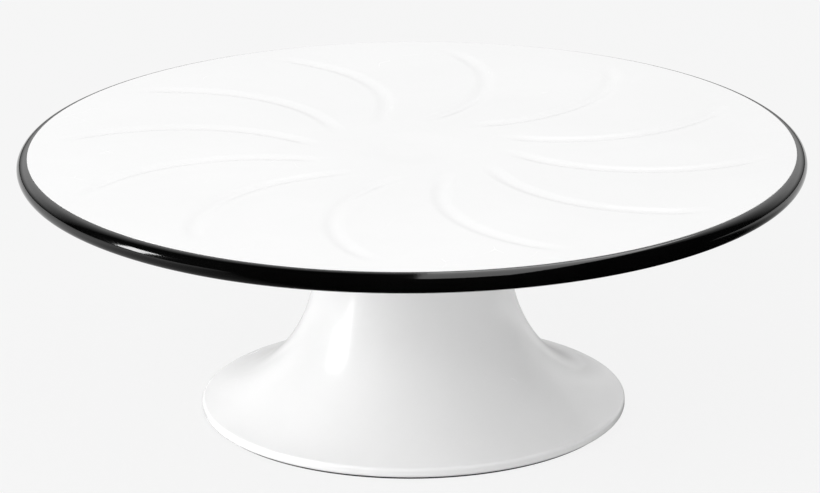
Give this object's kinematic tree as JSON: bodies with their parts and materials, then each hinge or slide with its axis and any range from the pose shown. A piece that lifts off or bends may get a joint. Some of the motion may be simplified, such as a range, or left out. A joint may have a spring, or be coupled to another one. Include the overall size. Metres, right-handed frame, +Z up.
{
  "type": "cake turntable",
  "caption": "Round cake decorating turntable: a white plate with shallow swirl grooves and a black edge band, spinning on ball bearings over a trumpet-shaped pedestal.",
  "frame": {"origin": "centre of the foot, on the surface the turntable stands on", "axes": "+Z up along the spindle, through the centre of the plate; X and Y are across the plate"},
  "size_m": [0.2799, 0.28, 0.097],
  "materials": {
    "white_plastic": "semi-gloss injection-moulded white ABS",
    "black_band": "polished black plastic band",
    "foot_rubber": "matt dark grey non-slip rubber",
    "cover_plastic": "fine-textured off-white plastic",
    "spindle_steel": "turned steel",
    "bearing_steel": "ground and polished bearing steel",
    "race_steel": "turned and ground steel washer",
    "ball_steel": "mirror-polished steel balls",
    "shield_steel": "pressed steel shield, satin",
    "cage_brass": "satin brass",
    "cage_plastic": "natural nylon",
    "spacer_aluminium": "turned aluminium tube",
    "zinc_screw": "zinc-plated steel"
  },
  "bodies": {
    "base": {"pedestal": "white_plastic", "bottom_cover": "cover_plastic", "cover_screws": "zinc_screw", "foot_ring": "foot_rubber", "lower_thrust_race": "race_steel", "upper_bearing_outer_ring": "bearing_steel", "upper_bearing_shields": "shield_steel", "lower_bearing_outer_ring": "bearing_steel", "lower_bearing_shields": "shield_steel"},
    "turntable": {"plate": "white_plastic", "edge_band": "black_band", "spindle": "spindle_steel", "flange_screws": "zinc_screw", "upper_thrust_race": "race_steel", "upper_bearing_inner_ring": "bearing_steel", "lower_bearing_inner_ring": "bearing_steel", "bearing_spacer": "spacer_aluminium", "spindle_washer": "zinc_screw", "spindle_nut": "zinc_screw"},
    "thrust_ball_set": {"thrust_cage": "cage_plastic", "thrust_balls": "ball_steel"},
    "upper_ball_set": {"upper_bearing_cage": "cage_brass", "upper_bearing_balls": "ball_steel"},
    "lower_ball_set": {"lower_bearing_cage": "cage_brass", "lower_bearing_balls": "ball_steel"}
  },
  "joints": [
    {"name": "plate_spin", "type": "hinge", "parent": "base", "child": "turntable", "pos_m": [0, 0, 0], "axis": [0, 0, 1], "continuous": true},
    {"name": "thrust_balls_roll", "type": "hinge", "parent": "base", "child": "thrust_ball_set", "pos_m": [0, 0, 0], "axis": [0, 0, 1], "continuous": true},
    {"name": "upper_balls_roll", "type": "hinge", "parent": "base", "child": "upper_ball_set", "pos_m": [0, 0, 0], "axis": [0, 0, 1], "continuous": true},
    {"name": "lower_balls_roll", "type": "hinge", "parent": "base", "child": "lower_ball_set", "pos_m": [0, 0, 0], "axis": [0, 0, 1], "continuous": true}
  ],
  "couplings": [
    {"joint": "thrust_balls_roll", "follows": "plate_spin", "ratio": 0.5},
    {"joint": "upper_balls_roll", "follows": "plate_spin", "ratio": 0.3677},
    {"joint": "lower_balls_roll", "follows": "plate_spin", "ratio": 0.3677}
  ]
}
